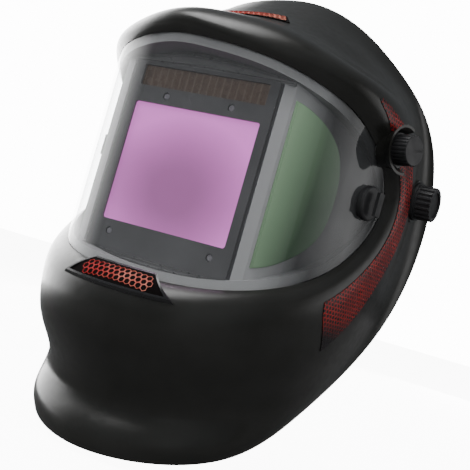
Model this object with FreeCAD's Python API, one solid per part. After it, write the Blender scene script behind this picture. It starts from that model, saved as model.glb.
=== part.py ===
import FreeCAD, Part

import math
import os

# Welding helmet: flip-up shell with a wrap-round clear lens, self-darkening cartridge,
# green side windows and a ratchet headgear. Units are millimetres.
# Frame: the wearer looks along -Y, +Z is up and +X is the wearer's left. The origin is the
# midpoint between the two pivots that the shell turns on.

PARTS = "parts"

# ---------------------------------------------------------------- shell and lens
WALL = 2.6                      # moulded nylon wall
LENS_HALF_WIDTH = 111.0         # plan section of the clear lens: a superellipse
LENS_HALF_LENGTH = 158.0
LENS_POWER = 2.6
LENS_THICKNESS = 2.0
LENS_INSET = 0.2                # lens face below the aperture's edge
LENS_GAP = 0.6                  # play between the lens and the aperture

# Edge of the lens aperture from the top centre, down the wearer's left, to the bottom centre:
# (plan angle round the lens section in degrees, height)
APERTURE = [(0, 55), (21.3, 50), (44.1, 42), (64.6, 27), (79.4, -9),
            (71.4, -54), (51.5, -84), (23.6, -101), (0, -105)]

# Rings of the shell's outer surface from the lens aperture to the rear edge. Each lists nine
# points from the top centre to the bottom centre; the other side mirrors them.
SHELL_RINGS = {
    "face": [(0, -161, 66), (53, -150, 60), (89, -123, 53), (111, -79, 36), (117, -34, -9),
             (115, -62, -61), (99, -115, -97), (60, -157, -114), (0, -174, -118)],
    "crest": [(0, -150, 75), (53, -141, 69), (90, -114, 60), (113, -70, 43), (119, -26, -9),
              (117, -53, -68), (103, -107, -109), (63, -156, -131), (0, -175, -136)],
    "gully": [(0, -121, 83), (53, -114, 78), (90, -85, 66), (113, -44, 48), (119, -12, -9),
              (117, -34, -78), (105, -88, -132), (66, -142, -156), (0, -163, -163)],
    "crown": [(0, -90, 97), (53, -84, 91), (90, -60, 74), (111, -22, 50), (115, 6, -9),
              (114, -14, -88), (101, -70, -150), (67, -125, -180), (0, -150, -191)],
    "root": [(0, -66, 112), (51, -62, 103), (90, -44, 79), (112, -8, 50), (117, 20, -12),
             (113, 2, -92), (98, -60, -164), (72, -126, -197), (0, -157, -205)],
    "edge": [(0, -50, 122), (51, -48, 112), (92, -34, 84), (116, 0, 48), (121, 27, -14),
             (114.5, 9, -96), (96, -51, -167), (73, -120, -207), (0, -158, -220)],
}

# ---------------------------------------------------------------- filter cartridge
CARTRIDGE_WIDTH = 114.0
CARTRIDGE_BOTTOM = -94.5
CARTRIDGE_TOP = 38.5
CARTRIDGE_FRONT = -135.0
CARTRIDGE_DEPTH = 14.0
CASE_SPLIT = -129.0             # joint between the cartridge's front and back case
CASE_WALL = 2.0
VIEW_WIDTH = 100.0
VIEW_BOTTOM = -74.0
VIEW_TOP = 10.0
CELL_BOTTOM = 21.5              # solar cell strip
CELL_TOP = 36.0
CELL_HALF_WIDTH = 50.0
SENSORS = [(-26, 16), (26, 16), (-41, -82), (41, -82)]
SENSOR_RADIUS = 2.6

# ---------------------------------------------------------------- inner frame
PANEL_START = (59.6, -134.6)    # plan points of a side panel, front to rear
PANEL_KNEE = (67.0, -132.0)
PANEL_TURN = (102.4, -63.0)
PANEL_END = (103.6, -46.0)
PANEL_THICKNESS = 2.2
HOLDER_HALF_WIDTH = 58.4
FRAME_DEPTH = 2.7               # frame's front face below the lens section
BAND_OUT = 7.0                  # frame band, outwards and inwards of the aperture's edge
BAND_IN = 6.0
BAND_THICKNESS = 2.0
TUBE_WALL = 2.2
TUBE_DEPTH = 36.0

# Side window's curved edge: (distance along the side panel, height)
WINDOW_EDGE = [(2.5, 29.5), (15.5, 27.5), (29.5, 22.5), (41, 15), (49, 5), (53.5, -9), (54.5, -25),
               (52, -43), (44, -57.5), (32, -68), (18, -76.5), (2.5, -81.5)]
WINDOW_FRONT = 1.2              # glass stands proud of the side panel
WINDOW_BACK = -2.0
WINDOW_GAP = 0.3

# ---------------------------------------------------------------- controls on the shell
SHADE_POINT = (114.5, -62.2, 23.0)
SHADE_AXIS = (0.94, -0.28, 0.03)
SHADE_RADIUS = 10.5
SHADE_LENGTH = 14.5
SHROUD_BASE = 13.0              # round base under the shade knob, and the rim of its guard
SHROUD_RIM = 17.0
SHROUD_HEIGHT = 7.5
LOCK_ANGLE = 71.3               # turn lock for the lens: plan angle round the lens, and height
LOCK_HEIGHT = -17.0
LOCK_RADIUS = 12.0
LOCK_SHAFT = 3.5

# ---------------------------------------------------------------- pivots
PIVOT_RADIUS = 4.0
RUNNING = 0.06                  # radial play of a turning fit
BOSS_RADIUS = 15.5
BOSS_INNER = 108.0
BOSS_OUTER = 117.6
KNOB_START = 118.0
KNOB_END = 132.0
KNOB_RADIUS = 12.6
REACH_TRAVEL = 10.0             # fore and aft adjustment of the shell, each way

# ---------------------------------------------------------------- headgear
HEAD_CENTRE_Y = 22.0
HEAD_HALF_WIDTH = 84.0
HEAD_HALF_LENGTH = 98.0
HEAD_POWER = 2.5
BAND_RISE = 34.0                # forehead above, and nape below, the pivots
BAND_HEIGHT = 24.0
STRAP = 1.8                     # strap and band thickness
ARM_INNER = 96.0
ARM_OUTER = 98.6
RATCHET_Y = 111.0
RATCHET_Z = -34.0
RATCHET_HALF_WIDTH = 46.0
RATCHET_HALF_HEIGHT = 18.0
PINION_RADIUS = 6.0             # pitch radius
PINION_TEETH = 10
RACK_TRAVEL = 12.0


# ---------------------------------------------------------------- helpers
def vec(x, y, z):
    return FreeCAD.Vector(x, y, z)


def block(x0, x1, y0, y1, z0, z1):
    return Part.makeBox(x1 - x0, y1 - y0, z1 - z0, vec(x0, y0, z0))


def rod(start, direction, radius, length):
    return Part.makeCylinder(radius, length, vec(*start), vec(*direction))


def pipe(start, direction, outer, inner, length):
    return rod(start, direction, outer, length).cut(rod(start, direction, inner, length))


def fuse(shapes):
    return shapes[0].fuse(shapes[1:]).removeSplitter()


def mirrored(shape):
    """The same piece on the wearer's right."""
    return shape.mirror(vec(0, 0, 0), vec(1, 0, 0))


def both(shape):
    return [shape, mirrored(shape)]


def prism(points, direction):
    """Solid of a closed straight-sided outline pushed along direction."""
    corners = [vec(*p) for p in points]
    return Part.Face(Part.makePolygon(corners + corners[:1])).extrude(vec(*direction))


def rounded(shape, radius, chosen):
    """Fillets the edges for which chosen(edge) is true."""
    return shape.makeFillet(radius, [e for e in shape.Edges if chosen(e)])


def runs_along(axis):
    """Edge test: straight and parallel to a coordinate axis given by its index."""
    def test(edge):
        size = edge.BoundBox
        spans = (size.XLength, size.YLength, size.ZLength)
        return spans[axis] > 0.5 and sum(spans) - spans[axis] < 1e-3
    return test


def plate_y(x0, x1, y0, y1, z0, z1, corner):
    """Plate facing Y with rounded corners."""
    return rounded(block(x0, x1, y0, y1, z0, z1), corner, runs_along(1))


def plate_x(x0, x1, y0, y1, z0, z1, corner):
    """Plate facing X with rounded corners."""
    return rounded(block(x0, x1, y0, y1, z0, z1), corner, runs_along(0))


def sewn(faces):
    """Closed solid from faces that share their edges."""
    shell = Part.Shell(faces)
    shell.sewShape()
    solid = Part.Solid(Part.Shell(shell.Faces))
    if solid.Volume < 0:
        solid.reverse()
    return solid


def closed_curve(points):
    """Smooth closed curve through points, one unit of parameter from each to the next."""
    curve = Part.BSplineCurve()
    curve.interpolate(
        Points=points, PeriodicFlag=True, Parameters=[float(i) for i in range(len(points) + 1)]
    )
    return curve


def open_curve(points, places=None):
    """Smooth curve through points, at the given parameters or one unit apart."""
    curve = Part.BSplineCurve()
    spots = places or range(len(points))
    curve.interpolate(Points=points, Parameters=[float(spot) for spot in spots])
    return curve


def closed_surface(rings, places):
    """Smooth surface through closed rings of points, periodic round the rings.
    places gives each ring's parameter across them."""
    round_curves = [closed_curve(ring) for ring in rings]
    columns = []
    for column in zip(*[curve.getPoles() for curve in round_curves]):
        columns.append(open_curve(list(column), places))
    first, across = round_curves[0], columns[0]
    surface = Part.BSplineSurface()
    surface.buildFromPolesMultsKnots(
        [c.getPoles() for c in columns],
        first.getMultiplicities(), across.getMultiplicities(),
        first.getKnots(), across.getKnots(), True, False, first.Degree, across.Degree,
    )
    return surface


def open_surface(rows):
    """Smooth surface through an open grid of points."""
    surface = Part.BSplineSurface()
    surface.interpolate(rows)
    return surface


SECTORS = 4                     # faces that each layer of the shell is made in


def boundary(surface, v):
    return surface.vIso(v).toShape()


def sector(surface, number):
    """One of the equal parts of a closed surface, numbered round its rings."""
    part = surface.copy()
    u0, u1, v0, v1 = surface.bounds()
    step = (u1 - u0) / SECTORS
    part.segment(u0 + step * number, u0 + step * (number + 1), v0, v1)
    return part


def ring_solid(outer, inner):
    """Solid between two closed surfaces with the same rings, its rims ruled across."""
    faces = []
    for number in range(SECTORS):
        above, below = sector(outer, number), sector(inner, number)
        faces += [above.toShape(), below.toShape()]
        for v_out, v_in in zip(above.bounds()[2:], below.bounds()[2:]):
            faces.append(Part.makeRuledSurface(boundary(above, v_out), boundary(below, v_in)))
    return sewn(faces)


def sheet_solid(rows_a, rows_b):
    """Solid between two open grids of points, its four sides ruled across."""
    a, b = open_surface(rows_a), open_surface(rows_b)
    faces = [a.toShape(), b.toShape()]
    for pick in ("uIso", "vIso"):
        low_high = (0, 1) if pick == "uIso" else (2, 3)
        for side in low_high:
            edges = [getattr(s, pick)(s.bounds()[side]).toShape() for s in (a, b)]
            faces.append(Part.makeRuledSurface(*edges))
    return sewn(faces)


def strip_solid(corners, closed):
    """Strap or ring of straight-sided section: corners lists the section at each station."""
    curve = closed_curve if closed else open_curve
    sides = len(corners[0])
    edges = [curve([c[k] for c in corners]).toShape() for k in range(sides)]
    faces = [Part.makeRuledSurface(edges[k], edges[(k + 1) % sides]) for k in range(sides)]
    if not closed:
        for station in (corners[0], corners[-1]):
            faces.append(Part.Face(Part.makePolygon(list(station) + [station[0]])))
    return sewn(faces)


def superellipse(angle, half_width, half_length, power):
    """Point and outward normal in plan at a plan angle from the front, in degrees."""
    s, c = math.sin(math.radians(angle)), math.cos(math.radians(angle))
    x = math.copysign(abs(s) ** (2 / power), s) * half_width
    y = -math.copysign(abs(c) ** (2 / power), c) * half_length
    nx = math.copysign(abs(x / half_width) ** (power - 1), x) / half_width
    ny = math.copysign(abs(y / half_length) ** (power - 1), y) / half_length
    size = math.hypot(nx, ny)
    return x, y, nx / size, ny / size


# ---------------------------------------------------------------- lens section
ARC_STEP = 0.5
ARC_TABLE = [0.0]
for _step in range(int(90 / ARC_STEP)):
    _ax, _ay, _, _ = superellipse(_step * ARC_STEP, LENS_HALF_WIDTH, LENS_HALF_LENGTH, LENS_POWER)
    _bx, _by, _, _ = superellipse(
        (_step + 1) * ARC_STEP, LENS_HALF_WIDTH, LENS_HALF_LENGTH, LENS_POWER)
    ARC_TABLE.append(ARC_TABLE[-1] + math.hypot(_bx - _ax, _by - _ay))


def arc_of(angle):
    """Distance round the lens section from its front centre."""
    place = abs(angle) / ARC_STEP
    low = min(int(place), len(ARC_TABLE) - 2)
    length = ARC_TABLE[low] + (place - low) * (ARC_TABLE[low + 1] - ARC_TABLE[low])
    return math.copysign(length, angle)


def angle_of(arc):
    """Plan angle at a distance round the lens section."""
    low = 0
    while low < len(ARC_TABLE) - 2 and ARC_TABLE[low + 1] < abs(arc):
        low += 1
    share = (abs(arc) - ARC_TABLE[low]) / (ARC_TABLE[low + 1] - ARC_TABLE[low])
    return math.copysign((low + share) * ARC_STEP, arc)


def on_lens(arc, z, depth):
    """Point at a distance round the lens section, moved inwards by depth."""
    x, y, nx, ny = superellipse(angle_of(arc), LENS_HALF_WIDTH, LENS_HALF_LENGTH, LENS_POWER)
    return vec(x - nx * depth, y - ny * depth, z)


def both_sides(half):
    """Whole ring from its half: down the wearer's left, then up the right."""
    return half + [(-p[0],) + tuple(p[1:]) for p in half[-2:0:-1]]


def lens_sheet(near, far, z0, z1):
    """Upright sheet that follows the lens section between two depths."""
    steps = [arc_of(a) for a in range(-90, 91, 5)]
    front = open_curve([on_lens(s, z0, near) for s in steps]).toShape()
    back = open_curve([on_lens(s, z0, far) for s in steps]).toShape()
    return Part.makeRuledSurface(front, back).extrude(vec(0, 0, z1 - z0))


# ---------------------------------------------------------------- shell
STATIONS = 2 * (len(APERTURE) - 1)
HALF_RINGS = [[tuple(on_lens(arc_of(a), z, 0)) for a, z in APERTURE]] + list(SHELL_RINGS.values())
LAST_RING = len(HALF_RINGS) - 1


def ring_places():
    """Parameter of each ring: its mean distance over the surface from the aperture, in mm."""
    places = [0.0]
    for ring, following in zip(HALF_RINGS, HALF_RINGS[1:]):
        steps = [(vec(*p) - vec(*q)).Length for p, q in zip(ring, following)]
        places.append(places[-1] + sum(steps) / len(steps))
    return places


RING_PLACES = ring_places()
OUTER = closed_surface([[vec(*p) for p in both_sides(half)] for half in HALF_RINGS], RING_PLACES)


OUTLINE_STATIONS = 40


def flat_aperture():
    """The shell's aperture edge laid flat: distance round the lens section against height."""
    spots = []
    for i in range(OUTLINE_STATIONS):
        point = OUTER.value(STATIONS * i / OUTLINE_STATIONS, 0)
        across = (abs(point.x) / LENS_HALF_WIDTH) ** (LENS_POWER / 2)
        along = (abs(point.y) / LENS_HALF_LENGTH) ** (LENS_POWER / 2)
        angle = math.copysign(math.degrees(math.atan2(across, along)), point.x)
        spots.append(vec(arc_of(angle), point.z, 0))
    return closed_curve(spots)


APERTURE_FLAT = flat_aperture()


def aperture_outline(offset, depth):
    """Points round the aperture, offset outwards in the lens surface and inwards by depth."""
    points = []
    for i in range(OUTLINE_STATIONS):
        spot = APERTURE_FLAT.value(i)
        along = APERTURE_FLAT.tangent(i)[0]
        points.append(on_lens(spot.x - along.y * offset, spot.y + along.x * offset, depth))
    return points


def outline_ring(section):
    """Ring that follows the aperture. The section lists (offset, depth) corners."""
    rings = [aperture_outline(offset, depth) for offset, depth in section]
    return strip_solid(list(zip(*rings)), closed=True)


def trimmed_to_aperture(solid, offset, inside):
    """The piece of solid within the aperture's outline that holds the point inside."""
    near = closed_curve(aperture_outline(offset, -8.0)).toShape()
    far = closed_curve(aperture_outline(offset, TUBE_DEPTH + 8.0)).toShape()
    pieces = solid.generalFuse([Part.makeRuledSurface(near, far)])[0]
    return [s for s in pieces.Solids if s.isInside(vec(*inside), 1e-3, True)][0]


def ring_parameter(v):
    """The surface's parameter at a ring number, which may lie between two rings."""
    low = min(int(v), LAST_RING - 1)
    return RING_PLACES[low] + (v - low) * (RING_PLACES[low + 1] - RING_PLACES[low])


OUTWARD = math.copysign(1, OUTER.normal(STATIONS / 4, ring_parameter(2)).x)


def on_shell(u, v, height):
    """Point above (or below, if negative) the shell's outer surface.
    u counts stations from the top centre round the wearer's left; v counts rings."""
    place = ring_parameter(v)
    return OUTER.value(u % STATIONS, place) + OUTER.normal(u % STATIONS, place) * OUTWARD * height


def shell_skin(below, above):
    """Solid layer that follows the shell between two heights."""
    ring_numbers = [v / 2 for v in range(2 * LAST_RING + 1)]

    def layer(height):
        return closed_surface(
            [[on_shell(u / 2, v, height) for u in range(2 * STATIONS)] for v in ring_numbers],
            [ring_parameter(v) for v in ring_numbers])
    outer = OUTER if above == 0 else layer(above)
    return ring_solid(outer, layer(below))


def patch(place, below, above, columns, rows):
    """Solid patch on the shell. place(p, q) gives its (u, v), with p and q from 0 to 1."""
    grids = []
    for height in (below, above):
        grids.append([
            [on_shell(*place(p / columns, q / rows), height) for q in range(rows + 1)]
            for p in range(columns + 1)
        ])
    return sheet_solid(*grids)


def make_shell():
    shell = shell_skin(-WALL, 0)
    for side in (1, -1):
        start = min(side * BOSS_INNER, side * BOSS_OUTER)
        boss = rod((start, 0, 0), (1, 0, 0), BOSS_RADIUS, BOSS_OUTER - BOSS_INNER)
        above = rod((side * BOSS_OUTER, 0, 0), (side, 0, 0), BOSS_RADIUS, 12)
        bore = rod((side * 90, 0, 0), (side, 0, 0), PIVOT_RADIUS + RUNNING, 50)
        shell = shell.fuse(boss).cut(above).cut(bore)
    return shell.cut(rod(shade_at(-30), SHADE_AXIS, 4.6, 60))


# ---------------------------------------------------------------- controls
SHADE_SHAFT = 3.0


def shade_direction():
    return vec(*SHADE_AXIS).normalize()


def shade_at(distance):
    """Point on the shade knob's axis at a distance above the shell's surface."""
    return tuple(vec(*SHADE_POINT) + shade_direction() * distance)


def make_shade_shroud():
    """Round base under the shade knob with a flared guard round its front."""
    base = rod(shade_at(-8.2), SHADE_AXIS, SHROUD_BASE, 9.8)
    start, axis = vec(*shade_at(1)), shade_direction()
    wall = 1.8
    cup = Part.makeCone(SHROUD_BASE, SHROUD_RIM, SHROUD_HEIGHT, start, axis)
    hollow = Part.makeCone(SHROUD_BASE - wall, SHROUD_RIM - wall, SHROUD_HEIGHT, start, axis)
    rear = block(80, 160, SHADE_POINT[1] + 3, 0, -20, 70)
    guard = cup.cut([hollow, rear])
    behind = [on_lens(arc_of(a), -60, -0.5) for a in range(0, 91, 3)] + [vec(0, 0, -60)]
    lens_side = prism([tuple(p) for p in behind], (0, 0, 120))
    cut = fuse([base, guard]).cut([shell_skin(-WALL, 0), lens_side])
    outside = max(cut.Solids, key=lambda solid: solid.CenterOfMass.dot(axis))
    return outside.cut(rod(shade_at(-30), SHADE_AXIS, 4.6, 60))


def grooves(start, direction, ring_radius, groove_radius, count, length):
    """Round bars in a ring, for cutting finger grooves into a knob."""
    axis = vec(*direction).normalize()
    side = axis.cross(vec(0, 0, 1)).normalize()
    bars = []
    for i in range(count):
        spot = FreeCAD.Rotation(axis, 360.0 * i / count).multVec(side * ring_radius) + vec(*start)
        bars.append(Part.makeCylinder(groove_radius, length, spot, axis))
    return bars


def make_shade_knob():
    body = rod(shade_at(2.2), SHADE_AXIS, SHADE_RADIUS, SHADE_LENGTH)
    skirt = rod(shade_at(2.2), SHADE_AXIS, SHADE_RADIUS + 0.9, 2.4)
    knob = fuse([body, skirt])
    top = shade_at(2.2 + SHADE_LENGTH)
    knob = rounded(knob, 1.0, lambda e: (e.CenterOfMass - vec(*top)).Length < 0.5)
    cutters = grooves(shade_at(5.4), SHADE_AXIS, SHADE_RADIUS + 0.35, 0.9, 24, SHADE_LENGTH)
    pointer = block(-0.7, 0.7, 0, SHADE_RADIUS, -1.2, 4)
    turn = FreeCAD.Rotation(vec(0, 0, 1), shade_direction())
    pointer.Placement = FreeCAD.Placement(vec(*top), turn)
    hollow = rod(shade_at(2.1), SHADE_AXIS, 8.4, 3.2)
    socket = rod(shade_at(2.1), SHADE_AXIS, SHADE_SHAFT, 11.5)
    return knob.cut(cutters + [pointer, hollow, socket])


def make_potentiometer():
    body = rod(shade_at(-24), SHADE_AXIS, 8, 9)
    bush = rod(shade_at(-16), SHADE_AXIS, 4.5, 20.4)
    bore = rod(shade_at(-13.8), SHADE_AXIS, SHADE_SHAFT + RUNNING, 30)
    return fuse([body, bush]).cut(bore)


def make_potentiometer_nut():
    corners = []
    for i in range(6):
        turned = FreeCAD.Rotation(shade_direction(), 60.0 * i)
        across = shade_direction().cross(vec(0, 0, 1)).normalize() * 7.4
        corners.append(tuple(vec(*shade_at(1.8)) + turned.multVec(across)))
    nut = prism(corners, tuple(shade_direction() * 2.2))
    return nut.cut(rod(shade_at(0), SHADE_AXIS, 4.5, 10))


def make_cable():
    """Lead from the shade control to the filter cartridge."""
    start = vec(*shade_at(-25.4))
    path = open_curve([start, start - shade_direction() * 6, vec(80, -78, 30), vec(68, -104, 40),
                       vec(53, -111, 36), vec(50.5, -115, 32), vec(50.5, -119.8, 31)]).toShape()
    begin = path.Curve.tangent(0)[0]
    ring = Part.Wire(Part.makeCircle(1.7, start, begin))
    return Part.Wire(path).makePipeShell([ring], True, True)


def tension_knob():
    """Knob on the wearer's left that clamps the shell on its pivot."""
    body = fuse([rod((KNOB_START, 0, 0), (1, 0, 0), KNOB_RADIUS + 1.2, 2.0),
                 rod((KNOB_START, 0, 0), (1, 0, 0), KNOB_RADIUS, KNOB_END - KNOB_START)])
    body = rounded(body, 1.0, lambda e: abs(e.CenterOfMass.x - KNOB_END) < 1e-3)
    cutters = grooves((KNOB_START + 3.2, 0, 0), (1, 0, 0), KNOB_RADIUS + 0.5, 1.5, 20, 12)
    dish = rod((KNOB_END - 1.3, 0, 0), (1, 0, 0), 9.2, 3)
    seat = rod((KNOB_START - 0.1, 0, 0), (1, 0, 0), 6.2, 9.1)
    bore = rod((KNOB_START - 0.1, 0, 0), (1, 0, 0), PIVOT_RADIUS + RUNNING, 10.2)
    return body.cut(cutters + [dish, seat, bore])


def knob_insert():
    return pipe((KNOB_START + 0.1, 0, 0), (1, 0, 0), 6.2, PIVOT_RADIUS + RUNNING, 8.9)


def pivot_bolt():
    """Coach bolt that the shell turns on: domed head, square neck, shank."""
    head = rod((91.4, 0, 0), (1, 0, 0), 7, 4.3)
    head = rounded(head, 2.6, lambda e: abs(e.CenterOfMass.x - 91.4) < 1e-3)
    neck = block(95.6, ARM_OUTER + 0.2, -4, 4, -4, 4)
    shank = rod((98, 0, 0), (1, 0, 0), PIVOT_RADIUS, KNOB_START + 9.4 - 98)
    return fuse([head, neck, shank])


def pivot_disc(x0, x1, radius):
    return pipe((x0, 0, 0), (1, 0, 0), radius, PIVOT_RADIUS + RUNNING, x1 - x0)


def carriage_plate():
    """Plate outside the side arm that carries the pivot bolt fore and aft."""
    plate = plate_x(99.0, 101.8, -18, 18, -12, 12, 5)
    return plate.cut(rod((98, 0, 0), (1, 0, 0), PIVOT_RADIUS + RUNNING, 5))


def tilt_stop():
    """Disc with a finger lever that sets how far down the shell comes."""
    disc = rod((102.1, 0, 0), (1, 0, 0), 13, 2.9)
    arm = plate_x(102.1, 104.4, -4.5, 4.5, 6, 34, 4)
    return fuse([disc, arm]).cut(rod((101, 0, 0), (1, 0, 0), PIVOT_RADIUS + RUNNING, 6))


# ---------------------------------------------------------------- lens, frame and windows
def lock_axis():
    """Foot point on the lens section and outward direction of the left lens lock."""
    foot = on_lens(arc_of(LOCK_ANGLE), LOCK_HEIGHT, 0)
    return foot, foot - on_lens(arc_of(LOCK_ANGLE), LOCK_HEIGHT, 1)


def lock_rod(radius, low, high):
    foot, out = lock_axis()
    return Part.makeCylinder(radius, high - low, foot + out * low, out)


def lens_lock():
    """Turn button on the lens with its shaft and the bar that grips behind the frame."""
    button = lock_rod(LOCK_RADIUS, 0.8, 4.8)
    foot, out = lock_axis()
    rim = foot + out * 4.8
    button = rounded(button, 1.6, lambda e: (e.CenterOfMass - rim).Length < 0.1)
    bar = block(-8, 8, -3, 3, -11.2, -8.8)
    turn = FreeCAD.Rotation(vec(0, 0, 1), vec(0, 0, 1).cross(out), out, "XYZ")
    bar.Placement = FreeCAD.Placement(foot, turn)
    finger = block(-7.5, 7.5, -1.1, 1.1, 4.1, 6.2)
    finger.Placement = bar.Placement
    slots = []
    for side in (-1, 1):
        slot = block(-6.5, 6.5, 2.2, 5.4, 3.6, 6)
        slot.Placement = FreeCAD.Placement(foot, turn * FreeCAD.Rotation(vec(0, 0, 1), 90 - 90 * side))
        slots.append(slot)
    return fuse([button, lock_rod(LOCK_SHAFT, -9, 1), bar]).cut(slots)


def make_lens():
    sheet = lens_sheet(LENS_INSET, LENS_INSET + LENS_THICKNESS, -125, 75)
    lens = trimmed_to_aperture(sheet, -LENS_GAP, tuple(on_lens(0, -20, LENS_INSET + 1)))
    hole = lock_rod(LOCK_SHAFT + 0.7, -6, 6)
    return lens.cut([hole, mirrored(hole), rod(shade_at(-30), SHADE_AXIS, 8.6, 29)])


def side_panel():
    """Upright panel beside the cartridge, in plan a strip of constant thickness."""
    front = [PANEL_START, PANEL_KNEE, PANEL_TURN, PANEL_END]
    t = PANEL_THICKNESS
    back = [(PANEL_END[0] - t, PANEL_END[1]), (PANEL_TURN[0] - t, PANEL_TURN[1] + t * 0.4),
            (PANEL_KNEE[0] - t * 0.6, PANEL_KNEE[1] + t * 1.2), (PANEL_START[0], PANEL_START[1] + t)]
    return prism([(x, y, -118) for x, y in front + back], (0, 0, 186))


def window_placement():
    along = vec(PANEL_TURN[0] - PANEL_KNEE[0], PANEL_TURN[1] - PANEL_KNEE[1], 0).normalize()
    up = vec(0, 0, 1)
    turn = FreeCAD.Rotation(along, up, along.cross(up), "XYZ")
    return FreeCAD.Placement(vec(PANEL_KNEE[0], PANEL_KNEE[1], 0), turn)


def window_solid(grow, low, high):
    """Side window's outline, grown by a margin, between two heights above the panel."""
    edge = open_curve([vec(s, z, 0) for s, z in WINDOW_EDGE])
    last = len(WINDOW_EDGE) - 1
    points = []
    for i in range(last + 1):
        along = edge.tangent(i)[0]
        points.append(edge.value(i) + vec(-along.y, along.x, 0) * grow)
    for i, up in ((0, grow), (last, -grow)):
        points[i] = edge.value(i) + vec(-grow, up, 0)
    outline = Part.Wire([open_curve(points).toShape(), Part.makeLine(points[-1], points[0])])
    solid = Part.Face(outline).extrude(vec(0, 0, high - low))
    solid.translate(vec(0, 0, low))
    solid.Placement = window_placement() * solid.Placement
    return solid


def side_window():
    """Green glass with a stepped edge that stands proud of the panel."""
    body = window_solid(-WINDOW_GAP, WINDOW_BACK, WINDOW_FRONT - 0.7)
    return fuse([body, window_solid(-WINDOW_GAP - 1.0, WINDOW_BACK, WINDOW_FRONT)])


def window_retainer():
    low = -PANEL_THICKNESS - 2.2
    high = -PANEL_THICKNESS - 0.3
    return window_solid(0.4, low, high).cut(window_solid(-3.0, low - 1, high + 1))


EARS = [(z, side) for z in (36.0, -86.2) for side in (1, -1)]
EAR_X = 62.3
EAR_HALF = 3.2


def make_lens_frame():
    """Frame behind the lens: band, deep wall and the two side panels."""
    near, far = FRAME_DEPTH, FRAME_DEPTH + BAND_THICKNESS
    rim = outline_ring([
        (BAND_OUT, near), (BAND_OUT, far), (-BAND_IN + TUBE_WALL, far),
        (-BAND_IN + TUBE_WALL, TUBE_DEPTH), (-BAND_IN, TUBE_DEPTH), (-BAND_IN, near)])
    inner = [(PANEL_START[0] + 0.5, PANEL_START[1] + 1.2), (PANEL_KNEE[0] - 0.6, PANEL_KNEE[1] + 1.0),
             (PANEL_TURN[0] - 1.2, PANEL_TURN[1] + 0.6), (PANEL_END[0] - 1.1, -30)]
    outline = inner + [(-x, y) for x, y in reversed(inner)]
    rim = rim.cut(prism([(x, y, -140) for x, y in outline], (0, 0, 240)))
    panel = trimmed_to_aperture(side_panel(), -BAND_IN + 1.2, (79.7, -104.8, -20))
    panel = panel.cut(window_solid(0, -6, 4))
    frame = rim.fuse([panel, mirrored(panel)])
    bore = lock_rod(LOCK_SHAFT + RUNNING, -14, -3)
    space = HALF + HOLDER_GAP
    bottom, top = CARTRIDGE_BOTTOM - HOLDER_GAP, CARTRIDGE_TOP + HOLDER_GAP
    cartridge = block(-space, space, -140, -110, bottom, top)
    holes = [bore, mirrored(bore), rod(shade_at(-30), SHADE_AXIS, 9.0, 40), cartridge]
    for z, side in EARS:
        holes.append(rod((side * EAR_X, -127, z), (0, -1, 0), 1.55, 5.8))
    return frame.cut(holes)


# ---------------------------------------------------------------- cartridge
HALF = CARTRIDGE_WIDTH / 2
HOLDER_GAP = 0.3
VIEW_HALF = VIEW_WIDTH / 2
CASE_BACK = CARTRIDGE_FRONT + CARTRIDGE_DEPTH
CONTROL_Z = 25.0                # row of controls on the back of the cartridge
SENSITIVITY_X = 34.0
DELAY_X = 14.0
TEST_X = -4.0
MODE_X = -17.0
DOOR_X = -40.0
LATCH_PIVOT = (-119.2, -99.5)   # Y and Z of the cartridge latch's pin


def make_holder():
    """Open box behind the frame that the cartridge slides into."""
    face = trimmed_to_aperture(
        block(-HOLDER_HALF_WIDTH, HOLDER_HALF_WIDTH, -133, -130.8, -118, 68), -BAND_IN - 2.0,
        (0, -132, -20))
    low, high = CARTRIDGE_BOTTOM - HOLDER_GAP, CARTRIDGE_TOP + HOLDER_GAP
    box = block(-HOLDER_HALF_WIDTH, HOLDER_HALF_WIDTH, -133, CASE_BACK - 0.5, low - 1.6, high + 1.6)
    shapes = [face, box]
    for z, side in EARS:
        x0, x1 = sorted((side * (HALF + 0.8), side * (EAR_X + 4)))
        shapes.append(block(x0, x1, -127.2, -124.8, z - EAR_HALF, z + EAR_HALF))
    for side in (1, -1):
        x0, x1 = sorted((side * 21.4, side * 24.8))
        shapes.append(block(x0, x1, -127, LATCH_PIVOT[0] + 2.8, LATCH_PIVOT[1] - 2.8, low - 0.2))
    holder = fuse(shapes)
    cutters = [block(-HALF - HOLDER_GAP, HALF + HOLDER_GAP, -140, -110, low, high),
               rod((-30, LATCH_PIVOT[0], LATCH_PIVOT[1]), (1, 0, 0), 1.2, 60)]
    for z, side in EARS:
        cutters.append(rod((side * EAR_X, -130, z), (0, 1, 0), 1.6, 8))
    return holder.cut(cutters)


def frame_screws():
    screws = []
    for z, side in EARS:
        shank = rod((side * EAR_X, -132.6, z), (0, 1, 0), 1.5, 8.7)
        head = rod((side * EAR_X, -124.7, z), (0, 1, 0), 3.0, 1.9)
        cross = [block(side * EAR_X - a, side * EAR_X + a, -123.7, -122, z - b, z + b)
                 for a, b in ((0.4, 1.8), (1.8, 0.4))]
        screws.append(fuse([shank, head]).cut(cross))
    return Part.makeCompound(screws)


def latch_pin():
    return rod((-25.4, LATCH_PIVOT[0], LATCH_PIVOT[1]), (1, 0, 0), 1.2, 50.8)


def cartridge_latch():
    """Flap on a pin that keeps the cartridge in its holder."""
    y, z = LATCH_PIVOT
    barrel = rod((-21, y, z), (1, 0, 0), 2.6, 42)
    flap = block(-21, 21, y - 1.0, y + 1.4, z + 1, z + 17)
    tab = block(-8, 8, y - 1.0, y + 5, z + 15, z + 17)
    return fuse([barrel, flap, tab]).cut(rod((-30, y, z), (1, 0, 0), 1.2 + RUNNING, 60))


def case_half(y0, y1):
    return plate_y(-HALF, HALF, y0, y1, CARTRIDGE_BOTTOM, CARTRIDGE_TOP, 3.0)


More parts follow.
